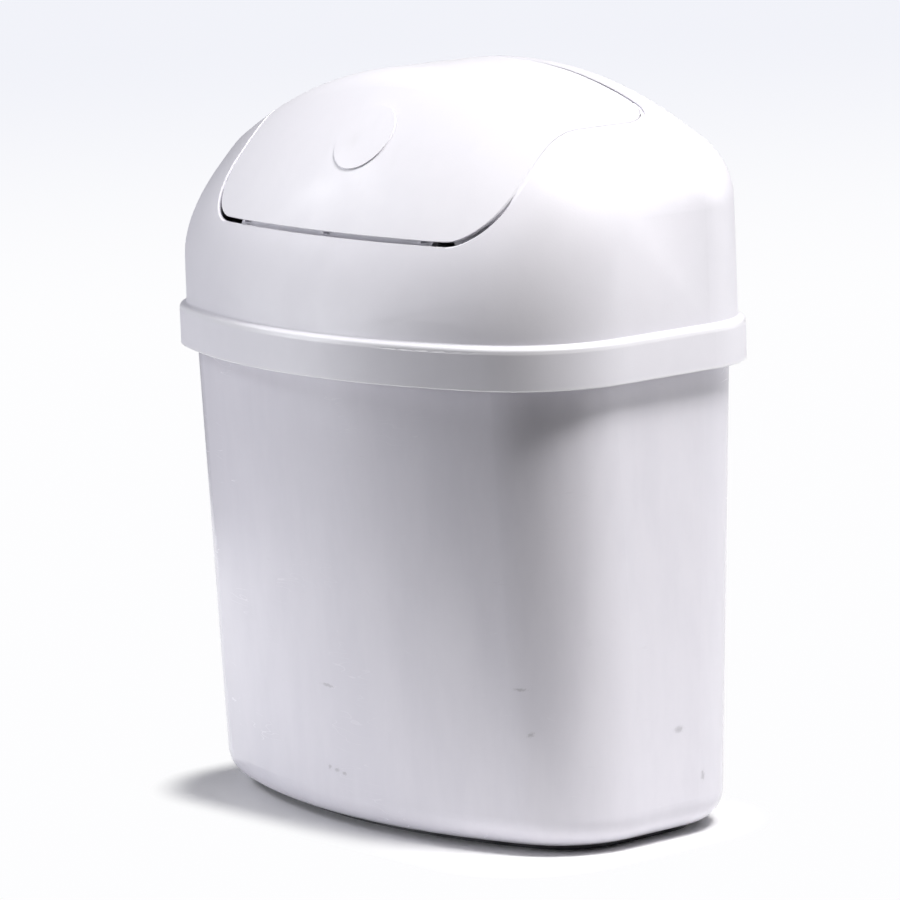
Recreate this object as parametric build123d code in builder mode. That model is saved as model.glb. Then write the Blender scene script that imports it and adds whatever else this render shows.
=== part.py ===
from build123d import *
import os
from math import sqrt, radians, sin, cos, tan

# A countertop waste bin: a tapered bucket, a lift-off hood that caps its rim, and a
# flap that swings on two trunnions in the hood's front slope. Millimetres, +Z up, the
# front faces -Y. The origin is on the table, under the middle of the band that runs
# round the hood. Wall thicknesses are measured in the plan, and those of the roof and of
# the flap's skin square to the face.

# Plan of the band, the widest part of the bin: a bowed front, straight sides and back
band_width = 212.0
band_depth = 126.0
front_bow_radius = 215.0
front_corner_radius = 42.0
back_corner_radius = 31.0

# Bucket: its front and back lean in towards the base, and its sides stand upright
rim_top = 170.0
rim_flange = 1.8
rim_lip_depth = 6.5
rim_lip_wall = 1.5
rim_clearance = 0.35
rim_overhang = 3.05
bucket_wall = 2.0
front_draft = 2.2
back_draft = 3.3
base_round = 11.0
floor_wall = 2.4
foot_height = 2.0
foot_setback = 1.0
foot_wall = 3.0

# Hood: the band, which hangs below the rim, a rounded shoulder, and a domed skin. The
# band's lower edge is broken by a small chamfer
band_height = 12.0
band_wall = 2.0
band_edge = 0.4
shoulder = 2.5
shoulder_round = 2.3
hood_wall = 2.0
hood_draft = 0.4
roof_rise = 85.4
crown_radius = 180.0
roof_round = 22.0

# Side view of the roof: flat behind the ridge, an arc over the ridge, a long arc down
ridge_setback = 64.5
ridge_radius = 22.0
slope_radius = 165.0
slope_start_angle = 41.5
slope_sweep = 36.0

# Flap, and the gap round it. The opening is chamfered behind its edge to let the flap
# turn, and both faces of the gap are broken by a small chamfer in front
flap_width = 149.0
flap_rise = 34.8
flap_corner_radius = 17.0
flap_back_margin = 27.0
flap_back_corner_radius = 12.0
flap_gap = 1.5
flap_wall = 2.0
flange_wall = 2.0
flange_depth = 12.0
lip_chamfer = 1.3
opening_edge = 0.4
flap_edge = 0.4

# Thumb pad on the flap's face, at the height where the slope has this angle
pad_angle = 49.0
pad_radius = 13.0
pad_rise = 0.5

# Stop lip behind the hood's skin, along the flap's bottom edge, and its three ribs
stop_length = 102.0
stop_wall = 1.8
stop_reach = 7.5
stop_overlap = 4.0
stop_clearance = 0.35
rib_count = 3
rib_pitch = 47.0
rib_width = 1.2
rib_drop = 0.9
rib_setback = 0.8

# Trunnions on the flap's ears, and the lugs that hang from the hood to carry them
pivot_setback = 16.5
pivot_drop = 30.9
pin_radius = 2.5
pin_clearance = 0.08
ear_wall = 2.4
ear_radius = 5.0
lug_wall = 2.6
lug_radius = 6.0
lug_gap = 0.8

# Places that follow from the sizes above
overall_height = rim_top + roof_rise
ridge_y = ridge_setback - band_depth / 2
pivot_y = ridge_y - pivot_setback
pivot_z = overall_height - pivot_drop
flap_bottom = rim_top + flap_rise
flap_back = band_depth / 2 - flap_back_margin
lug_start = flap_width / 2 + flap_gap + lug_gap
ear_start = flap_width / 2 - ear_wall
rim_inset = band_wall + rim_clearance
wall_inset = rim_inset + rim_overhang

# The roof is lofted through this many side views on each side of the middle. The shares
# tell a wall from a roof and an upright edge from a level one by the slope, and an
# opening's inner edge from its outer one by how much of the wall lies between
section_pairs = 3
section_pitch = (band_width + shoulder) / 2 / section_pairs
wall_share = 0.1
upright_share = 0.9
side_share = 0.25

os.makedirs("parts", exist_ok=True)


def plan(inset, height):
    """The bin's plan as a sketch at a height, inset from the band's outer face."""
    half_width = band_width / 2 - inset
    half_depth = band_depth / 2 - inset
    bow = front_bow_radius - inset
    bow_end = bow - half_depth - sqrt(bow**2 - half_width**2)
    with BuildSketch(Plane.XY.offset(height)) as outline:
        with BuildLine():
            ThreePointArc((-half_width, bow_end), (0, -half_depth), (half_width, bow_end))
            Polyline(
                (half_width, bow_end),
                (half_width, half_depth),
                (-half_width, half_depth),
                (-half_width, bow_end),
            )
        make_face()
        fillet(outline.vertices().group_by(Axis.Y)[0], front_corner_radius - inset)
        fillet(outline.vertices().group_by(Axis.Y)[-1], back_corner_radius - inset)
    return outline.sketch


def body(inset, bottom):
    """The bucket's form from the rim down to a height, inset from its outer face."""
    half_width = band_width / 2 - wall_inset - inset
    half_depth = band_depth / 2 - wall_inset - inset
    bow = front_bow_radius - wall_inset - inset
    lean = radians(front_draft)
    back_foot = half_depth - (rim_top - bottom) * tan(radians(back_draft))
    front_plane = Plane((0, -half_depth, rim_top), x_dir=(1, 0, 0), z_dir=(0, -sin(lean), cos(lean)))
    with BuildPart() as block:
        with BuildSketch(front_plane):
            with Locations((0, bow)):
                Circle(bow)
            Rectangle(2 * half_width, 2 * bow, mode=Mode.INTERSECT)
        extrude(amount=2 * rim_top, both=True)
        with BuildSketch(Plane.YZ):
            Polygon(
                (-band_depth, bottom),
                (back_foot, bottom),
                (half_depth, rim_top),
                (-band_depth, rim_top),
                align=None,
            )
        extrude(amount=band_width, both=True, mode=Mode.INTERSECT)
        upright = block.edges().filter_by(lambda edge: abs((edge % 0.5).Z) > upright_share)
        front_corners = upright.group_by(Axis.Y)[0]
        back_corners = upright.group_by(Axis.Y)[-1]
        fillet(front_corners, front_corner_radius - wall_inset - inset)
        fillet(back_corners, back_corner_radius - wall_inset - inset)
    return block.part


def roof_profile(x, inset):
    """The side view under the roof as a sketch at x, lowered there by the crown."""
    crown = crown_radius - inset
    roof = overall_height - inset - (crown - sqrt(crown**2 - x**2))
    below = roof - roof_rise - rim_top / 2
    behind = band_depth
    with BuildSketch(Plane.YZ.offset(x)) as profile:
        with BuildLine():
            Line((behind, roof), (ridge_y, roof))
            ridge = JernArc((ridge_y, roof), (-1, 0), ridge_radius - inset, slope_start_angle)
            slope = JernArc(ridge @ 1, ridge % 1, slope_radius - inset, slope_sweep)
            foot = slope @ 1
            Polyline((foot.X, foot.Y), (foot.X, below), (behind, below), (behind, roof))
        make_face()
    return profile.sketch


def dome(inset):
    """The hood's closed form above the rim, inset from its outer skin."""
    places = range(-section_pairs, section_pairs + 1)
    sections = [roof_profile(section_pitch * place, inset).face() for place in places]
    with BuildPart() as form:
        extrude(plan(shoulder + inset, rim_top), amount=roof_rise)
        sides = form.faces().filter_by(Axis.Z, reverse=True)
        draft(sides, Plane.XY.offset(rim_top), hood_draft)
        loft(sections, mode=Mode.INTERSECT)
        walls = form.faces().filter_by(lambda face: abs(face.normal_at().Z) < wall_share)
        roofs = form.faces().filter_by(lambda face: face.normal_at().Z > wall_share)
        roof_edges = roofs.edges().filter_by(lambda edge: edge in walls.edges())
        fillet(roof_edges, roof_round - inset)
    return form.part


def skin(outer, inner):
    """The layer of the dome between two depths below its outer face."""
    with BuildPart() as layer:
        add(dome(outer))
        add(dome(inner), mode=Mode.SUBTRACT)
    return layer.part


def flap_outline(grow):
    """A solid with the flap's outline in front and top view, grown outwards all round."""
    half_width = flap_width / 2 + grow
    bottom = flap_bottom - grow
    back = flap_back + grow
    with BuildPart() as outline:
        with BuildSketch(Plane.XZ) as front_view:
            with Locations((0, bottom)):
                Rectangle(2 * half_width, overall_height, align=(Align.CENTER, Align.MIN))
            fillet(front_view.vertices().group_by(Axis.Z)[0], flap_corner_radius + grow)
        extrude(amount=band_depth, both=True)
        with BuildSketch(Plane.XY) as top_view:
            with Locations((0, back)):
                Rectangle(2 * half_width, 2 * band_depth, align=(Align.CENTER, Align.MAX))
            fillet(top_view.vertices().group_by(Axis.Y)[-1], flap_back_corner_radius + grow)
        extrude(amount=2 * overall_height, mode=Mode.INTERSECT)
    return outline.part


def hanger(start, wall, radius):
    """A tab in the side view, round at the pivot and open upwards, standing at x = start."""
    with BuildPart() as tab:
        with BuildSketch(Plane.YZ.offset(start)):
            with Locations((pivot_y, pivot_z)):
                Circle(radius)
                Rectangle(2 * radius, pivot_drop, align=(Align.CENTER, Align.MIN))
        extrude(amount=wall)
    return tab.part


# Bucket: a box that narrows from front to back towards its rounded base, a foot ring
# under it, and a down-turned rim that the hood's band covers.
floor_bottom = foot_height
floor_top = floor_bottom + floor_wall
foot_inset = base_round + foot_setback
lip_bottom = rim_top - rim_lip_depth
groove_depth = rim_lip_depth - rim_flange

with BuildPart() as rim:
    extrude(plan(rim_inset, lip_bottom), amount=rim_lip_depth)
    fillet(rim.faces().sort_by(Axis.Z)[-1].edges(), rim_lip_wall / 2)
    extrude(plan(rim_inset + rim_lip_wall, lip_bottom), amount=groove_depth, mode=Mode.SUBTRACT)

with BuildPart() as cavity:
    add(body(bucket_wall, floor_top))
    fillet(cavity.faces().sort_by(Axis.Z)[0].edges(), base_round - bucket_wall)

with BuildPart() as foot:
    add(body(foot_inset, 0))
    add(body(foot_inset + foot_wall, 0), mode=Mode.SUBTRACT)
    with BuildSketch():
        Rectangle(band_width, band_depth)
    extrude(amount=floor_bottom, mode=Mode.INTERSECT)

with BuildPart() as bucket:
    add(body(0, floor_bottom))
    fillet(bucket.faces().sort_by(Axis.Z)[0].edges(), base_round)
    add(foot.part)
    add(rim.part)
    add(cavity.part, mode=Mode.SUBTRACT)
bucket.part.label = "bucket"
export_step(bucket.part, "parts/bucket.step")

# Hood: the band and its rounded shoulder, the domed skin with the flap's opening in it,
# and a lug beside the opening for each of the flap's trunnions.
with BuildPart() as lugs:
    add(hanger(lug_start, lug_wall, lug_radius))
    mirror(about=Plane.YZ)
    add(dome(hood_wall / 2), mode=Mode.INTERSECT)

with BuildPart() as hood:
    extrude(plan(0, rim_top - band_height), amount=band_height + shoulder)
    fillet(hood.faces().sort_by(Axis.Z)[-1].edges(), shoulder_round)
    chamfer(hood.faces().sort_by(Axis.Z)[0].edges(), band_edge)
    add(dome(0))
    extrude(plan(band_wall, 0), amount=rim_top, mode=Mode.SUBTRACT)
    inside = dome(hood_wall)
    add(inside, mode=Mode.SUBTRACT)
    add(flap_outline(flap_gap), mode=Mode.SUBTRACT)
    opening_edges = hood.edges(Select.LAST)
    inner_side = hood_wall * side_share
    outer_side = hood_wall - inner_side
    inner_edges = opening_edges.filter_by(lambda edge: inside.distance_to(edge @ 0.5) < inner_side)
    outer_edges = opening_edges.filter_by(lambda edge: inside.distance_to(edge @ 0.5) > outer_side)
    chamfer(inner_edges, lip_chamfer)
    chamfer(outer_edges, opening_edge)
    add(lugs.part)
    with BuildSketch(Plane.YZ):
        with Locations((pivot_y, pivot_z)):
            Circle(pin_radius + pin_clearance)
    extrude(amount=lug_start + 2 * lug_wall, both=True, mode=Mode.SUBTRACT)
hood.part.label = "hood"
export_step(hood.part, "parts/hood.step")

# Flap: a panel of the dome's own skin with a raised thumb pad on its face. Underneath, a
# flange stiffens its sides and back and holds its weight behind the pivot, a lip along
# its bottom edge stops it flush, and an ear at each side carries a trunnion.
with BuildPart() as flange:
    add(flap_outline(0))
    add(flap_outline(-flange_wall), mode=Mode.SUBTRACT)
    add(skin(flap_wall / 2, flap_wall + flange_depth), mode=Mode.INTERSECT)
    with BuildSketch(Plane.XY.offset(flap_bottom + flap_corner_radius)):
        Rectangle(flap_width, 2 * band_depth)
    extrude(amount=roof_rise, mode=Mode.INTERSECT)

with BuildPart() as stop:
    add(skin(flap_wall + stop_clearance, flap_wall + stop_clearance + stop_wall))
    with BuildSketch(Plane.XY.offset(flap_bottom - stop_reach)):
        Rectangle(stop_length, band_depth, align=(Align.CENTER, Align.MAX))
    extrude(amount=stop_reach + stop_overlap, mode=Mode.INTERSECT)

with BuildPart() as stop_root:
    add(skin(flap_wall / 2, flap_wall + stop_clearance + stop_wall / 2))
    with BuildSketch(Plane.XY.offset(flap_bottom)):
        Rectangle(stop_length, band_depth, align=(Align.CENTER, Align.MAX))
    extrude(amount=stop_overlap, mode=Mode.INTERSECT)

with BuildPart() as ribs:
    add(skin(rib_setback, flap_wall + stop_clearance + stop_wall / 2))
    with BuildSketch(Plane.XY.offset(flap_bottom - rib_drop)):
        with Locations((0, -band_depth / 2)):
            with GridLocations(rib_pitch, band_depth, rib_count, 1):
                Rectangle(rib_width, band_depth)
    extrude(amount=rib_drop + flap_wall, mode=Mode.INTERSECT)

with BuildPart() as ears:
    add(hanger(ear_start, ear_wall, ear_radius))
    add(dome(flap_wall / 2), mode=Mode.INTERSECT)
    with BuildSketch(Plane.YZ.offset(ear_start)):
        with Locations((pivot_y, pivot_z)):
            Circle(pin_radius)
    extrude(amount=lug_start + lug_wall - ear_start)
    mirror(about=Plane.YZ)

start_angle = radians(slope_start_angle)
tilt = radians(pad_angle)
pad_y = ridge_y - ridge_radius * sin(start_angle) - slope_radius * (sin(tilt) - sin(start_angle))
pad_z = overall_height - ridge_radius * (1 - cos(start_angle)) - slope_radius * (cos(start_angle) - cos(tilt))
pad_plane = Plane(origin=(0, pad_y, pad_z), x_dir=(1, 0, 0), z_dir=(0, -sin(tilt), cos(tilt)))

with BuildPart() as pad:
    with BuildSketch(pad_plane):
        Circle(pad_radius)
    extrude(amount=pad_radius, both=True)
    add(skin(-pad_rise, flap_wall / 2), mode=Mode.INTERSECT)

with BuildPart() as flap:
    add(flap_outline(0))
    inside = dome(flap_wall)
    add(skin(0, flap_wall), mode=Mode.INTERSECT)
    panel_edges = flap.edges(Select.LAST)
    outer_side = flap_wall * (1 - side_share)
    outer_edges = panel_edges.filter_by(lambda edge: inside.distance_to(edge @ 0.5) > outer_side)
    chamfer(outer_edges, flap_edge)
    add(flange.part)
    add(stop.part)
    add(stop_root.part)
    add(ribs.part)
    add(ears.part)
    add(pad.part)
flap.part.label = "flap"
export_step(flap.part, "parts/flap.step")
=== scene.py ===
from math import atan2, radians, sin, cos

import bmesh
import bpy
from mathutils import Matrix, Vector
from mathutils.bvhtree import BVHTree
from mathutils.kdtree import KDTree


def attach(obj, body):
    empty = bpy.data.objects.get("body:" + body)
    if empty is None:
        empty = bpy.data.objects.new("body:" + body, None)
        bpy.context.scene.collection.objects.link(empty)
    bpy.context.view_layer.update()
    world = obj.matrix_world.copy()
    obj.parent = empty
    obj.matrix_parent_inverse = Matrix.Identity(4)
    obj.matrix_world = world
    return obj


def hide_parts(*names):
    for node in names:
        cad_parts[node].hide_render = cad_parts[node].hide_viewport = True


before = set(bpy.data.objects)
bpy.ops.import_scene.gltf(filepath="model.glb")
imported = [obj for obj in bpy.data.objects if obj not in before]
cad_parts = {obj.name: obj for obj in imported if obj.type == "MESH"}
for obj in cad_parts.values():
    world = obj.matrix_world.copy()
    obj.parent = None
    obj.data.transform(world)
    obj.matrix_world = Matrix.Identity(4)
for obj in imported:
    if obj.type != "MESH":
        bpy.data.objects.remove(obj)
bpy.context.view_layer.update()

# Bucket. One moulding in cool white polypropylene from a polished mould, so it is
# glossier than the hood. It keeps faint upright draw lines from leaving the mould, is
# hazed by wiping, and has a few dark scuffs low down, where it gets knocked.
bucket_white = (0.800, 0.782, 0.846, 1.0)
bucket_shade = (0.758, 0.742, 0.808, 1.0)
bucket_roughness = (0.17, 0.27)
plastic_ior = 1.49
grain_span = (0.3, 0.7)
# A stretch is so many grains a metre in each direction, and a depth is in metres.
draw_line_stretch = (620.0, 620.0, 5.0)
draw_line_depth = 0.000006
orange_peel_stretch = (330.0, 330.0, 330.0)
orange_peel_depth = 0.00002
wiping_stretch = (55.0, 55.0, 16.0)
scratch_stretch = (38.0, 38.0, 260.0)
scratch_tilt = radians(34)
scratch_width = 0.006
scratch_depth = 0.00001
scratch_patch_stretch = (47.0, 47.0, 47.0)
scratch_patch_span = (0.52, 0.66)
scratch_strength = 0.10
scratch_dullness = 0.15
# The bin's lowest few millimetres are painted near black, a painted shade for the dark gap
# under its base, which also dulls the gloss there.
base_shade_colour = (0.030, 0.032, 0.038, 1.0)
base_shade_heights = (0.0016, 0.0036)
base_shade_stretch = (90.0, 90.0, 160.0)
base_shade_span = (0.35, 0.7)
base_shade_patchiness = (0.9, 1.0)
base_shade_dullness = 0.25
scuff_grey = (0.300, 0.290, 0.320, 1.0)
scuff_strength = 0.45
scuff_dullness = 0.30
scuff_edge = (0.5, 1.6)
ragged_stretch = (1500.0, 1500.0, 1500.0)
ragged_span = (0.2, 0.8)
ragged_reach = (-0.3, 0.5)
scuffs = (
    # across, back, up, half length, half height, tilt in degrees
    (-0.0030, -0.0520, 0.0212, 0.0010, 0.0008, 0),
    (0.0008, -0.0520, 0.0206, 0.0014, 0.0007, -15),
    (0.0048, -0.0518, 0.0200, 0.0010, 0.0007, 10),
    (-0.0010, -0.0527, 0.0500, 0.0030, 0.0006, 3),
    (0.0810, -0.0369, 0.0572, 0.0024, 0.0005, 0),
    (0.0835, -0.0353, 0.0421, 0.0014, 0.0007, -35),
    (0.1003, -0.0285, 0.0216, 0.0016, 0.0008, 40),
    (0.1006, 0.0253, 0.0206, 0.0008, 0.0018, 0),
    (0.1006, 0.0150, 0.0380, 0.0018, 0.0010, 20),
    (-0.0720, -0.0430, 0.0330, 0.0030, 0.0006, 5),
    (-0.1006, 0.0080, 0.0280, 0.0022, 0.0008, -12),
    (0.0300, 0.0520, 0.0400, 0.0030, 0.0007, 6),
    (-0.0450, 0.0530, 0.0620, 0.0018, 0.0006, -20),
)


def add_node(tree, kind, **settings):
    """A shader node, with its properties set by name and its sockets by label."""
    made = tree.nodes.new(kind)
    for name, value in settings.items():
        label = name.replace("_", " ").title()
        if label in made.inputs:
            made.inputs[label].default_value = value
        else:
            setattr(made, name, value)
    return made


def feed(tree, socket, value):
    """Puts a number, a colour or another socket into a socket."""
    if isinstance(value, bpy.types.NodeSocket):
        tree.links.new(value, socket)
    else:
        socket.default_value = value


def new_finish(name):
    """A new material, its node tree, its shader and the object's own coordinates."""
    finish = bpy.data.materials.new(name)
    finish.use_nodes = True
    tree = finish.node_tree
    place = add_node(tree, "ShaderNodeTexCoord").outputs["Object"]
    return finish, tree, tree.nodes["Principled BSDF"], place


def grain(tree, place, stretch, detail=2.0, roughness=0.5, tilt=0.0):
    """Noise around 0.5, with so many grains a metre in each direction."""
    mapping = add_node(tree, "ShaderNodeMapping", rotation=(0.0, tilt, 0.0), scale=stretch)
    noise = add_node(
        tree, "ShaderNodeTexNoise", scale=1.0, detail=detail, roughness=roughness
    )
    feed(tree, mapping.inputs["Vector"], place)
    feed(tree, noise.inputs["Vector"], mapping.outputs["Vector"])
    return noise.outputs["Fac"]


def spread(tree, value, start, end, first=0.0, last=1.0):
    """A value mapped smoothly from one range to another, held at the ends."""
    ramp = add_node(tree, "ShaderNodeMapRange", interpolation_type="SMOOTHSTEP")
    ends = ("Value", "From Min", "From Max", "To Min", "To Max")
    for label, number in zip(ends, (value, start, end, first, last)):
        feed(tree, ramp.inputs[label], number)
    return ramp.outputs["Result"]


def combine(tree, operation, first, second=0.0):
    """Two values, or a value and a number, put together."""
    sums = add_node(tree, "ShaderNodeMath", operation=operation)
    feed(tree, sums.inputs[0], first)
    feed(tree, sums.inputs[1], second)
    return sums.outputs["Value"]


def length_of(tree, vector):
    """The length of a vector."""
    measure = add_node(tree, "ShaderNodeVectorMath", operation="LENGTH")
    feed(tree, measure.inputs[0], vector)
    return measure.outputs["Value"]


def distance_from(tree, place, centre, half_sizes, tilt=0.0):
    """How far a point lies from a centre, where the half sizes count as 1."""
    mapping = add_node(
        tree, "ShaderNodeMapping", vector_type="TEXTURE", location=centre,
        rotation=(0.0, tilt, 0.0), scale=half_sizes,
    )
    feed(tree, mapping.inputs["Vector"], place)
    return length_of(tree, mapping.outputs["Vector"])


def blend_colours(tree, share, first, second):
    """A colour that goes from the first to the second as the share goes from 0 to 1."""
    # A colour mix takes its share at socket 0, its colours at 6 and 7, and gives 2.
    mix = add_node(tree, "ShaderNodeMix", data_type="RGBA")
    feed(tree, mix.inputs[0], share)
    feed(tree, mix.inputs[6], first)
    feed(tree, mix.inputs[7], second)
    return mix.outputs[2]


def relief(tree, height, depth, below=None):
    """Bump of a depth in metres, laid over another bump if there is one."""
    bump = add_node(tree, "ShaderNodeBump", distance=depth)
    feed(tree, bump.inputs["Height"], height)
    if below is not None:
        feed(tree, bump.inputs["Normal"], below)
    return bump.outputs["Normal"]


def height_of(tree, place):
    """The height above the table."""
    parts = add_node(tree, "ShaderNodeSeparateXYZ")
    feed(tree, parts.inputs["Vector"], place)
    return parts.outputs["Z"]


def scuff_mask(tree, place, ragged, mark):
    """One short mark on an upright wall, soft at its ends and broken by some noise."""
    *centre, half_length, half_height, tilt = mark
    reach = distance_from(
        tree, place, centre, (half_length, half_length, half_height), radians(tilt)
    )
    return spread(tree, combine(tree, "ADD", reach, ragged), *scuff_edge, 1.0, 0.0)


def hairlines(tree, place, stretch, tilt, width):
    """Thin wandering scratches where slanting noise crosses its middle, broken up."""
    slanting = grain(tree, place, stretch, detail=1.0, tilt=tilt)
    off_middle = combine(tree, "ABSOLUTE", combine(tree, "SUBTRACT", slanting, 0.5))
    line = spread(tree, off_middle, 0.0, width, 1.0, 0.0)
    patch = spread(tree, grain(tree, place, scratch_patch_stretch), *scratch_patch_span)
    return combine(tree, "MULTIPLY", line, patch)


bucket_plastic, tree, shader, place = new_finish("bucket_gloss_white")
wiping = grain(tree, place, wiping_stretch, detail=4.0, roughness=0.6)
draw_lines = grain(tree, place, draw_line_stretch, detail=1.0)
scratches = hairlines(tree, place, scratch_stretch, scratch_tilt, scratch_width)
# Painted shade at the base: near black up to a few millimetres, fading upwards and broken a
# little by noise.
patches = grain(tree, place, base_shade_stretch, detail=3.0)
base_shade = combine(
    tree, "MULTIPLY",
    spread(tree, height_of(tree, place), *base_shade_heights, 1.0, 0.0),
    spread(tree, patches, *base_shade_span, *base_shade_patchiness),
)
ragged = spread(tree, grain(tree, place, ragged_stretch), *ragged_span, *ragged_reach)
marks = 0.0
for mark in scuffs:
    marks = combine(tree, "MAXIMUM", scuff_mask(tree, place, ragged, mark), marks)
colour = blend_colours(tree, spread(tree, wiping, *grain_span), bucket_white, bucket_shade)
colour = blend_colours(tree, base_shade, colour, base_shade_colour)
for wear, share in ((marks, scuff_strength), (scratches, scratch_strength)):
    colour = blend_colours(tree, combine(tree, "MULTIPLY", wear, share), colour, scuff_grey)
feed(tree, shader.inputs["Base Color"], colour)
dullness = spread(tree, wiping, *grain_span, *bucket_roughness)
for wear, share in (
    (marks, scuff_dullness), (scratches, scratch_dullness), (base_shade, base_shade_dullness),
):
    dullness = combine(tree, "ADD", dullness, combine(tree, "MULTIPLY", wear, share))
feed(tree, shader.inputs["Roughness"], dullness)
shader.inputs["IOR"].default_value = plastic_ior
normal = relief(tree, grain(tree, place, orange_peel_stretch), orange_peel_depth)
normal = relief(tree, draw_lines, draw_line_depth, normal)
normal = relief(tree, scratches, -scratch_depth, normal)
feed(tree, shader.inputs["Normal"], normal)
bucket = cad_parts["bucket"]
bucket.data.materials.clear()
bucket.data.materials.append(bucket_plastic)

# Hood. One moulding in off-white polypropylene with a fine satin grain, from the band
# that grips the rim up to the opening for the flap. It lifts off by hand. The edges of
# its band and shoulder are polished by handling and catch the light, and a painted
# highlight lightens their colour as well.
hood_white = (0.838, 0.824, 0.880, 1.0)
hood_shade = (0.806, 0.793, 0.848, 1.0)
hood_roughness = (0.36, 0.46)
mottling_stretch = (32.0, 32.0, 24.0)
satin_stretch = (1500.0, 1500.0, 1500.0)
satin_depth = 0.000018
sink_stretch = (24.0, 24.0, 30.0)
sink_depth = 0.00012
smudge_grey = (0.640, 0.628, 0.640, 1.0)
smudge_edge = (0.2, 1.0)
smudge_stretch = (130.0, 130.0, 90.0)
smudge_span = (0.45, 0.75)
smudge_strength = 0.16
smudge_polish = 0.12
hood_smudge_centre = (0.0, -0.036, 0.205)
hood_smudge_size = (0.055, 0.030, 0.024)
# Along the band's lower edge and over the shoulder the colour is painted lighter, a painted
# highlight broken up by noise, and the same edges are made glossier by polish.
band_heights = (0.1580, 0.1712)
edge_reach = 0.0016
highlight_white = (0.890, 0.885, 0.910, 1.0)
polish_and_highlight_stretch = (60.0, 60.0, 40.0)
polish_and_highlight_patchiness = (0.6, 1.0)
highlight_strength = 0.6
edge_polish = 0.10
# The dome's skin above fair_foot, seen as facing away from fair_middle. Its shading is
# evened out within fair_radius, fully at the front and less and less up to fair_back.
fair_middle = Vector((0.0, 0.010, 0.190))
fair_foot = 0.17256
fair_outward = 0.5
fair_pitch = 0.003
fair_radius = 0.028
fair_back = 0.030
fair_fade = 0.030


def satin_plastic(name, white, shade, roughness, smudge_centre, smudge_size):
    """A satin moulded white with mottling, sink marks, grain and faint finger marks."""
    plastic, tree, shader, place = new_finish(name)
    mottling = grain(tree, place, mottling_stretch, detail=4.0, roughness=0.6)
    colour = blend_colours(tree, spread(tree, mottling, *grain_span), white, shade)
    reach = distance_from(tree, place, smudge_centre, smudge_size)
    touched = combine(
        tree, "MULTIPLY",
        spread(tree, reach, *smudge_edge, 1.0, 0.0),
        spread(tree, grain(tree, place, smudge_stretch, detail=3.0), *smudge_span),
    )
    smudges = combine(tree, "MULTIPLY", touched, smudge_strength)
    colour = blend_colours(tree, smudges, colour, smudge_grey)
    polish = combine(tree, "MULTIPLY", touched, smudge_polish)
    dullness = spread(tree, mottling, *grain_span, *roughness)
    dullness = combine(tree, "SUBTRACT", dullness, polish)
    normal = relief(tree, grain(tree, place, sink_stretch, detail=1.0), sink_depth)
    normal = relief(tree, grain(tree, place, satin_stretch), satin_depth, normal)
    feed(tree, shader.inputs["Normal"], normal)
    shader.inputs["IOR"].default_value = plastic_ior
    return plastic, tree, shader, place, colour, dullness


def outer_faces(mesh, middle, foot, outward):
    """The faces of a moulding's outer skin above a height."""
    found = []
    for face in mesh.polygons:
        away = (face.center - middle).normalized()
        if face.center.z > foot and face.normal.dot(away) > outward:
            found.append(face)
    return found


def skin_samples(meshes, middle, foot, outward, pitch):
    """Points spread over the outer skins, each with its normal and its share of area."""
    samples = []
    for mesh in meshes:
        for face in outer_faces(mesh, middle, foot, outward):
            corners = [mesh.vertices[i].co for i in face.vertices]
            normals = [mesh.corner_normals[i].vector for i in face.loop_indices]
            longest = max((corners[i] - corners[i - 1]).length for i in range(3))
            steps = max(1, int(longest / pitch + 0.5))
            for i in range(steps):
                for j in range(steps - i):
                    a, b = (i + 1 / 3) / steps, (j + 1 / 3) / steps
                    c = 1 - a - b
                    point = corners[0] * a + corners[1] * b + corners[2] * c
                    normal = normals[0] * a + normals[1] * b + normals[2] * c
                    samples.append((point, normal, face.area / steps**2))
    return samples


def fair_normals(mesh, meshes):
    """Evens out the turn of the hood's front, which the real moulding takes slowly."""
    samples = skin_samples(meshes, fair_middle, fair_foot, fair_outward, fair_pitch)
    nearby = KDTree(len(samples))
    for index, sample in enumerate(samples):
        nearby.insert(sample[0], index)
    nearby.balance()
    normals = [corner.vector.copy() for corner in mesh.corner_normals]
    evened = {}
    for face in outer_faces(mesh, fair_middle, fair_foot, fair_outward):
        for loop in face.loop_indices:
            vertex = mesh.loops[loop].vertex_index
            point = mesh.vertices[vertex].co
            share = min(1.0, max(0.0, (fair_back - point.y) / fair_fade))
            if share == 0.0:
                continue
            if vertex not in evened:
                total = Vector()
                for _, index, distance in nearby.find_range(point, fair_radius):
                    _, normal, area = samples[index]
                    total += normal * area * (1 - (distance / fair_radius) ** 2)
                evened[vertex] = total.normalized()
            share = share * share * (3 - 2 * share)
            normals[loop] = normals[loop].lerp(evened[vertex], share).normalized()
    mesh.normals_split_custom_set(normals)


hood_plastic, tree, shader, place, colour, dullness = satin_plastic(
    "hood_satin_white", hood_white, hood_shade, hood_roughness,
    hood_smudge_centre, hood_smudge_size,
)
height = height_of(tree, place)
# Painted highlight: the colour is lightened near the band's lower edge and the shoulder,
# where the edges are also made glossier.
polish_and_highlight = 0.0
for edge in band_heights:
    off_edge = combine(tree, "ABSOLUTE", combine(tree, "SUBTRACT", height, edge))
    near_edge = spread(tree, off_edge, 0.0, edge_reach, 1.0, 0.0)
    polish_and_highlight = combine(tree, "MAXIMUM", near_edge, polish_and_highlight)
broken = spread(tree, grain(tree, place, polish_and_highlight_stretch), *grain_span, *polish_and_highlight_patchiness)
polish_and_highlight = combine(tree, "MULTIPLY", polish_and_highlight, broken)
colour = blend_colours(
    tree, combine(tree, "MULTIPLY", polish_and_highlight, highlight_strength), colour, highlight_white
)
feed(tree, shader.inputs["Base Color"], colour)
polish = combine(tree, "MULTIPLY", polish_and_highlight, edge_polish)
feed(tree, shader.inputs["Roughness"], combine(tree, "SUBTRACT", dullness, polish))
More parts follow.
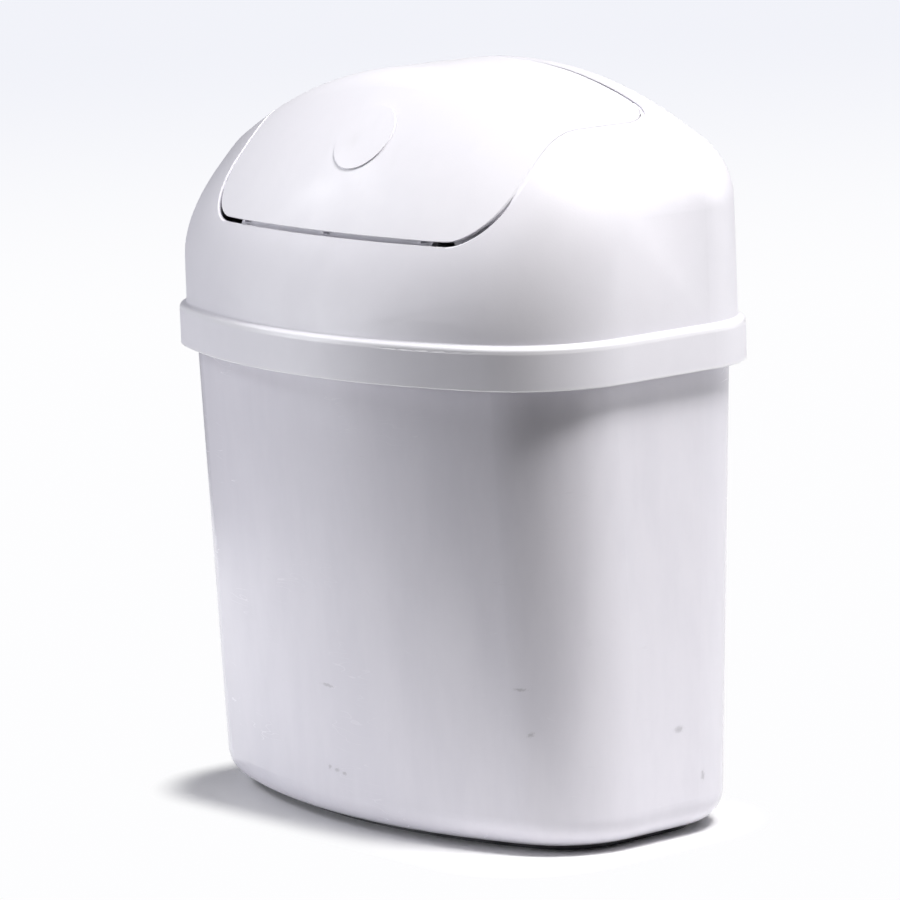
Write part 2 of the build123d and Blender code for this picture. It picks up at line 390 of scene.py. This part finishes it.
hood_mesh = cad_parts["hood"].data.copy()
hood_mesh.name = "hood_shell"
fair_normals(hood_mesh, (hood_mesh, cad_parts["flap"].data))
hood_mesh.materials.clear()
hood_mesh.materials.append(hood_plastic)
hood = bpy.data.objects.new("hood_shell", hood_mesh)
bpy.context.scene.collection.objects.link(hood)
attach(hood, "hood")
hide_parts("hood")

# Shoulder. The rounded shoulder between the hood's dome and its band, part of the same
# moulding. It is laid over the hood as one closed strip that runs up into the dome in a
# small hollow. Its polish catches the light all the way round, and a painted
# highlight lightens the colour of its lower rounding.
foot_level = 0.1725
level_slack = 0.00005
weld_distance = 0.00001
flat_above = 0.95
steep_below = 0.6
shoulder_crease = radians(35)
shoulder_section = (
    # outwards, upwards: from the band up over the shoulder to the hollow at the dome
    (0.002445, -0.001900), (0.002425, -0.001500), (0.002365, -0.001180),
    (0.002255, -0.000900), (0.002095, -0.000660), (0.001885, -0.000480),
    (0.001620, -0.000340), (0.001300, -0.000215), (0.000950, -0.000085),
    (0.000660, 0.000015), (0.000420, 0.000110), (0.000220, 0.000250),
    (0.000070, 0.000440), (-0.000020, 0.000680),
    # the part inside the hood's wall
    (-0.000050, 0.001200), (-0.000400, 0.002000), (-0.000600, 0.002000),
    (-0.000600, -0.000300), (0.000200, -0.000600), (0.001100, -0.000850),
    (0.001600, -0.001300), (0.001950, -0.001900),
)


def foot_line(mesh, level):
    """The closed line where the domed skin stands on the shoulder, in order round it."""
    outline = bmesh.new()
    outline.from_mesh(mesh)
    bmesh.ops.remove_doubles(outline, verts=outline.verts, dist=weld_distance)
    found = set()
    for edge in outline.edges:
        if all(abs(vertex.co.z - level) < level_slack for vertex in edge.verts):
            up = [abs(face.normal.z) for face in edge.link_faces]
            if len(up) == 2 and max(up) > flat_above and min(up) < steep_below:
                found.update(tuple(vertex.co) for vertex in edge.verts)
    outline.free()
    return sorted(found, key=lambda point: atan2(point[0], -point[1]))


def swept_strip(name, rings, body, plastic, loop=False):
    """A strip through rings of corners, either capped at both ends or joined to itself."""
    mesh = bmesh.new()
    laid = [[mesh.verts.new(corner) for corner in ring] for ring in rings]
    around = len(laid[0])
    for ring, next_ring in zip(laid, laid[1:] + laid[:1] if loop else laid[1:]):
        for i in range(around):
            j = (i + 1) % around
            mesh.faces.new((ring[i], ring[j], next_ring[j], next_ring[i]))
    if not loop:
        mesh.faces.new(laid[0][::-1])
        mesh.faces.new(laid[-1])
    bmesh.ops.recalc_face_normals(mesh, faces=mesh.faces)
    data = bpy.data.meshes.new(name)
    mesh.to_mesh(data)
    mesh.free()
    data.materials.append(plastic)
    made = bpy.data.objects.new(name, data)
    bpy.context.scene.collection.objects.link(made)
    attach(made, body)
    return made


foot = [Vector(point) for point in foot_line(hood_mesh, foot_level)]
rings = []
for i, point in enumerate(foot):
    along = foot[(i + 1) % len(foot)] - foot[i - 1]
    out = Vector((along.y, -along.x, 0.0)).normalized()
    rings.append([
        point + out * across + Vector((0, 0, rise)) for across, rise in shoulder_section
    ])
shoulder = swept_strip(
    "hood_shoulder", rings, "hood", hood_plastic, loop=True
)
for face in shoulder.data.polygons:
    face.use_smooth = True
shoulder.data.set_sharp_from_angle(angle=shoulder_crease)

# Flap. A separate moulding in the same plastic and grain as the hood, hung on two pins
# in the hood's lugs. Its front edge and the thumb pad are where it is pushed, so they
# carry the most finger marks.
flap_white = (0.844, 0.832, 0.880, 1.0)
flap_shade = (0.814, 0.803, 0.852, 1.0)
flap_roughness = (0.38, 0.47)
flap_smudge_centre = (0.002, -0.036, 0.228)
flap_smudge_size = (0.034, 0.026, 0.022)
flap_plastic, tree, shader, place, colour, dullness = satin_plastic(
    "flap_satin_white", flap_white, flap_shade, flap_roughness,
    flap_smudge_centre, flap_smudge_size,
)
feed(tree, shader.inputs["Base Color"], colour)
feed(tree, shader.inputs["Roughness"], dullness)
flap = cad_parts["flap"]
flap.data.materials.clear()
flap.data.materials.append(flap_plastic)

# Corner ribs. A rib behind each of the flap's lower corners, moulded with the flap. It
# stands just inside the rounded edge and has a small flange under the gap.
corner_centre = (0.0575, 0.2218)
rib_outer = 0.0167
rib_inset = 0.0012
rib_steps = 12
rib_sweeps = ((-1, "left", radians(58)), (1, "right", radians(84)))
rib_section = (
    # beyond the rib's outer face, behind the flap's skin
    (0.0, 0.0012), (0.0, 0.0023), (0.0015, 0.0023), (0.0015, 0.0032),
    (0.0, 0.0032), (0.0, 0.0085), (-0.0018, 0.0085), (-0.0018, 0.0012),
)
probe_front = -0.3


def skin_tree(mesh):
    """The faces of a mesh, sorted so that a ray finds the one it meets first."""
    return BVHTree.FromPolygons(
        [vertex.co for vertex in mesh.vertices],
        [tuple(face.vertices) for face in mesh.polygons],
    )


def skin_front(mesh_tree, x, z):
    """How far forward the outer skin lies at a point of the front view."""
    return mesh_tree.ray_cast(Vector((x, probe_front, z)), Vector((0, 1, 0)))[0].y


flap_tree = skin_tree(flap.data)
for side, label, sweep in rib_sweeps:
    rings = []
    for step in range(rib_steps + 1):
        turn = sweep * step / rib_steps
        rim_x = side * (corner_centre[0] + rib_outer * cos(turn))
        rim_z = corner_centre[1] - rib_outer * sin(turn)
        face = skin_front(
            flap_tree, rim_x - side * rib_inset, rim_z + rib_inset * sin(turn)
        )
        rings.append([
            Vector((
                rim_x + side * beyond * cos(turn), face + depth, rim_z - beyond * sin(turn),
            ))
            for beyond, depth in rib_section
        ])
    swept_strip("flap_corner_rib_" + label, rings, "flap", flap_plastic)

# Gap ledge. A narrow ledge under the gap at the flap's sides and back, moulded with the
# hood, so that little of the dark inside shows past the closed flap. Along the back it
# runs straight from corner to corner, below the hood's arched edge.
ledge_half_width = 0.0745
ledge_back = 0.036
ledge_corner = 0.012
ledge_front = -0.030
ledge_inner = 0.0003
ledge_outer = 0.0024
# The hood's skin is found ledge_sight outside the flap, the flap's a little inside it.
ledge_sight = 0.0026
ledge_pull = 0.985
ledge_depths = (0.0011, 0.0019)
ledge_steps = 14
probe_top = 0.4


def skin_height(mesh_tree, x, y):
    """The height of the outer skin over a point, found from above."""
    return mesh_tree.ray_cast(Vector((x, y, probe_top)), Vector((0, 0, -1)))[0].z


def ledge_path(grow):
    """Points round the sides and back of the flap's outline, grown by some metres."""
    across = ledge_half_width + grow
    corner = ledge_corner + grow
    turn_y = ledge_back + grow - corner
    path = [
        (-across, ledge_front + (turn_y - ledge_front) * i / ledge_steps)
        for i in range(ledge_steps)
    ]
    for i in range(ledge_steps + 1):
        turn = radians(90) * i / ledge_steps
        path.append((-across + corner - corner * cos(turn), turn_y + corner * sin(turn)))
    return path + [(-x, y) for x, y in path[::-1]]


hood_tree = skin_tree(hood_mesh)
rings = []
for inner, outer, sight in zip(
    ledge_path(ledge_inner), ledge_path(ledge_outer), ledge_path(ledge_sight)
):
    hood_skin = skin_height(hood_tree, *sight)
    flap_skin = skin_height(flap_tree, *[number * ledge_pull for number in inner])
    rings.append([
        Vector((*outer, hood_skin - ledge_depths[0])),
        Vector((*outer, hood_skin - ledge_depths[1])),
        Vector((*inner, flap_skin - ledge_depths[1])),
        Vector((*inner, flap_skin - ledge_depths[0])),
    ])
swept_strip("hood_gap_ledge", rings, "hood", hood_plastic)

# Table. A white sheet of board under and behind the bin. In front it ends short of the
# camera, where the dark room begins, and that darkness gives the walls their modelling.
# Away from the bin's own shadow the board shows as an even white that dims far behind.
sheet_white = (0.950, 0.950, 0.955, 1.0)
sheet_roughness = (0.55, 0.65)
fibre_stretch = (140.0, 140.0, 140.0)
backdrop_white = (0.985, 0.985, 0.995, 1.0)
backdrop_far = (0.885, 0.895, 0.950, 1.0)
backdrop_fade = (1.1, 2.8)
floor_half = 4.5
# The board shows the bin's shadow up to shadow_reach from a block of base_half.
base_half = (0.070, 0.025, 1.0)
shadow_reach = (0.026, 0.044)
room_dark = (0.03, 0.03, 0.032, 1.0)
room_roughness = 0.9
room_lift = 0.0015
sheet_edge = (
    # azimuth from the front towards the right in degrees, distance from the middle
    (-180, 1.80), (-150, 1.80), (-120, 0.88), (-105, 0.62), (-92, 0.506), (-72, 0.485),
    (-60, 0.478), (-50, 0.478), (-42, 0.475), (-32, 0.450), (-20, 0.405), (-5, 0.350),
    (10, 0.285), (25, 0.225), (40, 0.188), (52, 0.184), (62, 0.200), (72, 0.270),
    (82, 0.500), (92, 1.000), (120, 1.800), (150, 1.800),
)


def stage_piece(name, corners, faces, material):
    """An object that belongs to the studio and not to the bin."""
    mesh = bpy.data.meshes.new(name)
    mesh.from_pydata(corners, [], faces)
    mesh.materials.append(material)
    made = bpy.data.objects.new(name, mesh)
    bpy.context.scene.collection.objects.link(made)
    return made


def compass(azimuth, distance, height):
    """A point at an azimuth from the front towards the right, round the bin's middle."""
    angle = radians(azimuth)
    return Vector((sin(angle) * distance, -cos(angle) * distance, height))


floor_paint, tree, shader, place = new_finish("floor_board")
fibre = grain(tree, place, fibre_stretch, detail=3.0)
shader.inputs["Base Color"].default_value = sheet_white
feed(tree, shader.inputs["Roughness"], spread(tree, fibre, *grain_span, *sheet_roughness))
off_base = place
for operation, amount in (
    ("ABSOLUTE", None), ("SUBTRACT", base_half), ("MAXIMUM", (0.0, 0.0, 0.0)),
):
    step = add_node(tree, "ShaderNodeVectorMath", operation=operation)
    feed(tree, step.inputs[0], off_base)
    if amount is not None:
        step.inputs[1].default_value = amount
    off_base = step.outputs["Vector"]
past_shadow = spread(tree, length_of(tree, off_base), *shadow_reach)
rays = add_node(tree, "ShaderNodeLightPath").outputs
seen = combine(tree, "ADD", rays["Is Camera Ray"], rays["Is Glossy Ray"])
seen = combine(tree, "ADD", seen, rays["Is Transmission Ray"])
seen = combine(tree, "MINIMUM", seen, 1.0)
far_behind = spread(tree, length_of(tree, place), *backdrop_fade)
backdrop = blend_colours(tree, far_behind, backdrop_white, backdrop_far)
glow = add_node(tree, "ShaderNodeEmission", strength=1.0)
feed(tree, glow.inputs["Color"], backdrop)
either = add_node(tree, "ShaderNodeMixShader")
feed(tree, either.inputs[0], combine(tree, "MULTIPLY", seen, past_shadow))
feed(tree, either.inputs[1], shader.outputs["BSDF"])
feed(tree, either.inputs[2], glow.outputs["Emission"])
feed(tree, tree.nodes["Material Output"].inputs["Surface"], either.outputs["Shader"])
floor_corners = [
    (x * floor_half, y * floor_half, 0.0) for x, y in ((-1, -1), (1, -1), (1, 1), (-1, 1))
]
stage_piece("floor", floor_corners, [(0, 1, 2, 3)], floor_paint)

room_paint = bpy.data.materials.new("dark_room")
room_paint.use_nodes = True
room_shader = room_paint.node_tree.nodes["Principled BSDF"]
room_shader.inputs["Base Color"].default_value = room_dark
room_shader.inputs["Roughness"].default_value = room_roughness
near_edge = [compass(azimuth, distance, room_lift) for azimuth, distance in sheet_edge]
far_edge = [compass(azimuth, floor_half, room_lift) for azimuth, _ in sheet_edge]
count = len(sheet_edge)
room_faces = [
    (i, (i + 1) % count, (i + 1) % count + count, i + count) for i in range(count)
]
room = stage_piece("dark_room", near_edge + far_edge, room_faces, room_paint)
room.visible_camera = False

# Lamps. Round soft boxes that face the bin: the key high on the right with two helpers
# above the front, a low one behind on the right, and two cooler fills on the left.
lamp_aim = Vector((0.0, 0.0, 0.13))
lamp_distance = 1.2
key_tint = (1.0, 0.99, 0.98)
low_tint = (0.97, 0.98, 1.0)
fill_tint = (0.95, 0.96, 1.0)
room_air = (0.96, 0.97, 1.0, 1.0)
room_air_strength = 0.0
lamps = (
    # name, azimuth and elevation in degrees, size in metres, power in watts, tint
    ("key", 105, 60, 0.3, 11.9, key_tint),
    ("key_front", 60, 70, 0.3, 1.4, key_tint),
    ("key_top", 90, 70, 0.3, 5.6, key_tint),
    ("low_right", 150, 12, 0.3, 2.2, low_tint),
    ("left_low", 315, 5, 0.5, 6.5, fill_tint),
    ("left_fill", 300, 35, 0.3, 2.9, fill_tint),
)
for name, azimuth, elevation, size, power, tint in lamps:
    lamp_data = bpy.data.lights.new(name, "AREA")
    lamp_data.shape = "DISK"
    lamp_data.size = size
    lamp_data.energy = power
    lamp_data.color = tint
    towards = compass(azimuth, cos(radians(elevation)), sin(radians(elevation)))
    lamp = bpy.data.objects.new(name, lamp_data)
    lamp.location = lamp_aim + towards * lamp_distance
    lamp.rotation_euler = (-towards).to_track_quat("-Z", "Y").to_euler()
    lamp.visible_camera = False
    bpy.context.scene.collection.objects.link(lamp)
world = bpy.data.worlds.new("studio")
bpy.context.scene.world = world
world.use_nodes = True
air = world.node_tree.nodes["Background"]
air.inputs["Color"].default_value = room_air
air.inputs["Strength"].default_value = room_air_strength

# Camera. A long lens a little above the bin, looking at its front from the right, with
# a slight roll. Lengths are in metres, and the sensor's width is in millimetres.
image_pixels = 900
sensor_width = 36.0
focal_pixels = 5654.8
camera_azimuth = radians(50.957)
camera_elevation = radians(9.806)
camera_roll = radians(-2.218)
camera_distance = 1.9275
camera_target = Vector((0.0, -0.0167, 0.120))
camera_shift = (0.0508, 0.0195)
camera_sight = 20.0

back = Vector((
    sin(camera_azimuth) * cos(camera_elevation),
    -cos(camera_azimuth) * cos(camera_elevation),
    sin(camera_elevation),
))
level_right = Vector((cos(camera_azimuth), sin(camera_azimuth), 0.0))
level_up = back.cross(level_right)
right = level_right * cos(camera_roll) + level_up * sin(camera_roll)
up = level_up * cos(camera_roll) - level_right * sin(camera_roll)
facing = Matrix((right, up, back)).transposed().to_4x4()
camera_data = bpy.data.cameras.new("camera")
camera_data.sensor_width = sensor_width
camera_data.lens = focal_pixels / image_pixels * sensor_width
camera_data.shift_x, camera_data.shift_y = camera_shift
camera_data.clip_end = camera_sight
camera = bpy.data.objects.new("camera", camera_data)
camera.matrix_world = Matrix.Translation(camera_target + back * camera_distance) @ facing
bpy.context.scene.collection.objects.link(camera)
bpy.context.scene.camera = camera
bpy.context.scene.view_settings.view_transform = "Standard"
